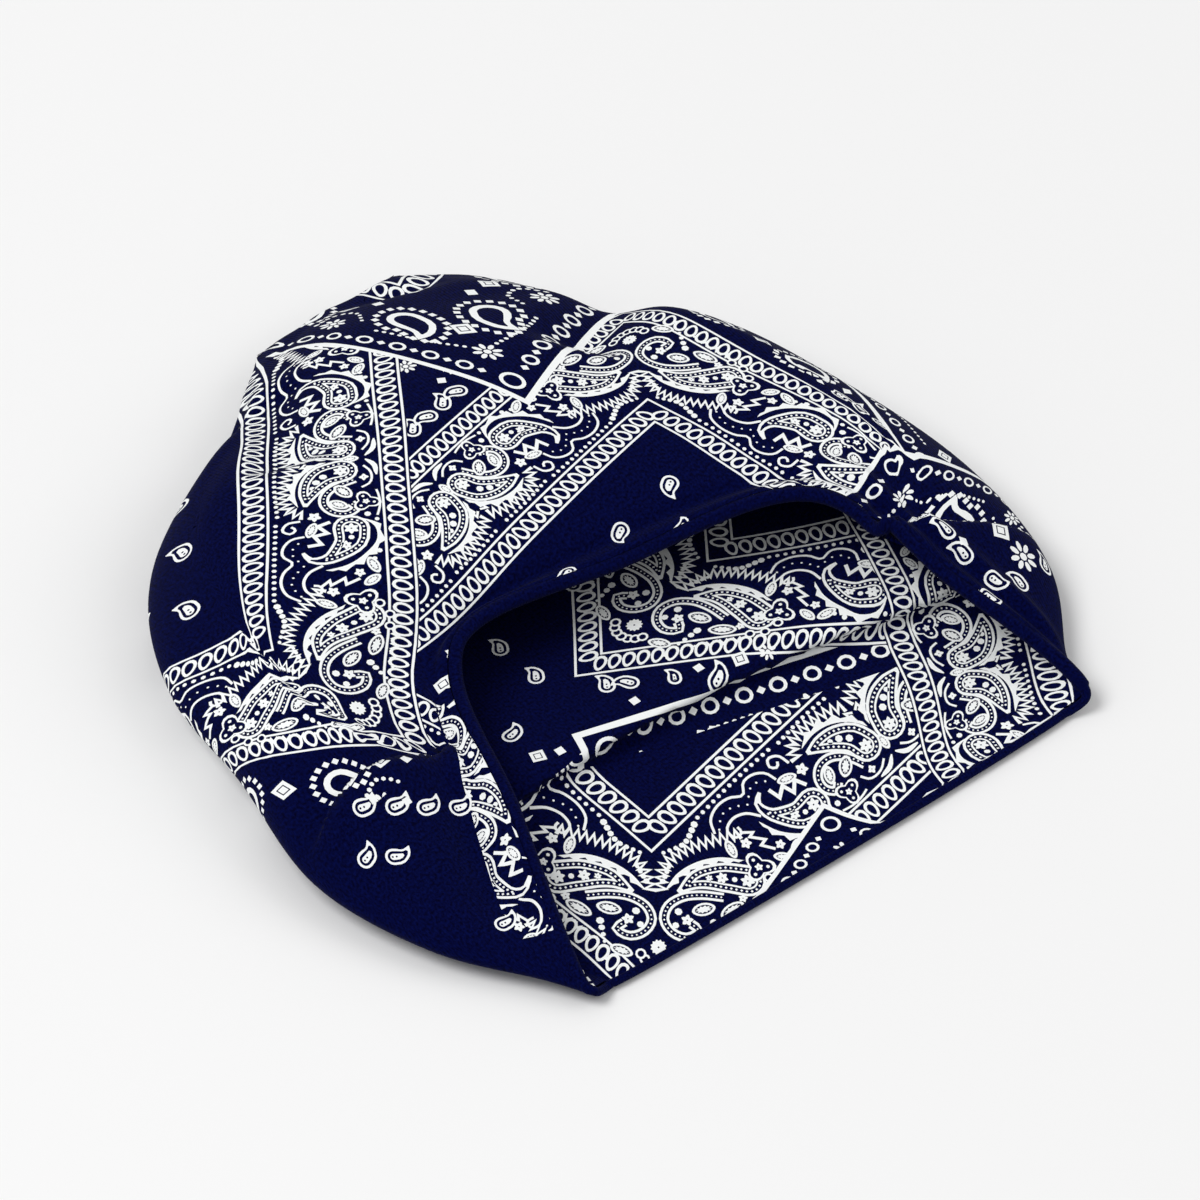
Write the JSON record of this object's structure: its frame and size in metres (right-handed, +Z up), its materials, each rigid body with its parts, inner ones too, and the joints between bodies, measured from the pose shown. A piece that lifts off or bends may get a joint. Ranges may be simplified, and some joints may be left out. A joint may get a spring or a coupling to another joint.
{
  "type": "turban hat",
  "caption": "Slouchy double-layer jersey turban hat lying on its side with its mouth open, patterned cloth outside and inside.",
  "frame": {"origin": "middle of the hat's bounding box, on the surface that it lies on", "axes": "+Z up; +Y from the mouth to the crown; X along the lower edge of the mouth"},
  "size_m": [0.2646, 0.2676, 0.0461],
  "materials": {
    "shell_cloth": "printed cotton jersey",
    "lining_cloth": "printed cotton jersey",
    "rim_cloth": "rolled cotton jersey"
  },
  "bodies": {
    "root": {"outer_shell": "shell_cloth", "lining": "lining_cloth", "rim_roll": "rim_cloth"}
  },
  "joints": []
}
